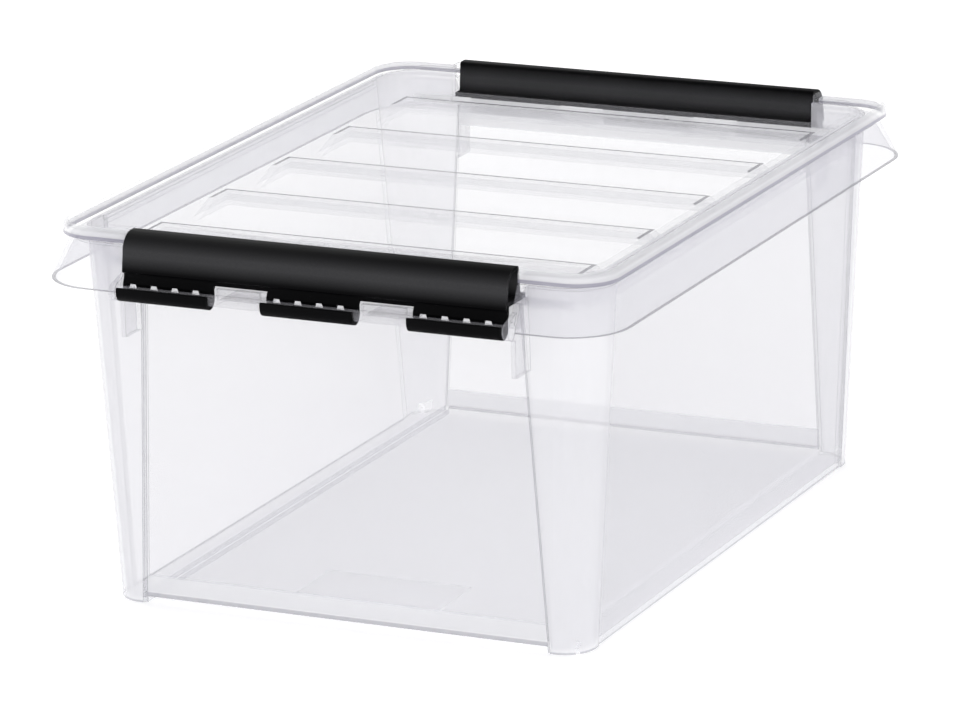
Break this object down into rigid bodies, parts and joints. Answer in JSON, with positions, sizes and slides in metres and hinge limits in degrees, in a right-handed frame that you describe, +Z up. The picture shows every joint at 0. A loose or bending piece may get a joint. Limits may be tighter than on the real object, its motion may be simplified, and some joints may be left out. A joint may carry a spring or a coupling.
{
  "type": "stackable storage bin",
  "caption": "Clear flared storage box with a lift-off ribbed lid held shut by black clip handles hinged on bars at both ends; boxes stack.",
  "frame": {"origin": "centre of the footprint, on the surface the bin stands on", "axes": "+Z up, +Y along the length towards the rear handle, +X across the width to the right when seen from the front handle"},
  "size_m": [0.3, 0.41, 0.191],
  "materials": {
    "clear_tub": "clear moulded polypropylene, smooth and glossy",
    "clear_lid": "clear moulded polypropylene, smooth and glossy",
    "black_handle": "near-black moulded plastic, satin with a fine texture"
  },
  "bodies": {
    "tub": {"tub": "clear_tub"},
    "lid": {"lid": "clear_lid"},
    "front_handle": {"front_handle": "black_handle"},
    "rear_handle": {"rear_handle": "black_handle"}
  },
  "joints": [
    {"name": "lid_lift", "type": "slide", "parent": "tub", "child": "lid", "axis": [0, 0, 1], "range_m": [0, 0.2]},
    {"name": "front_handle_hinge", "type": "hinge", "parent": "tub", "child": "front_handle", "pos_m": [0, -0.2004, 0.164], "axis": [1, 0, 0], "range_deg": [0, 165]},
    {"name": "rear_handle_hinge", "type": "hinge", "parent": "tub", "child": "rear_handle", "pos_m": [0, 0.2004, 0.164], "axis": [-1, 0, 0], "range_deg": [0, 165]}
  ]
}
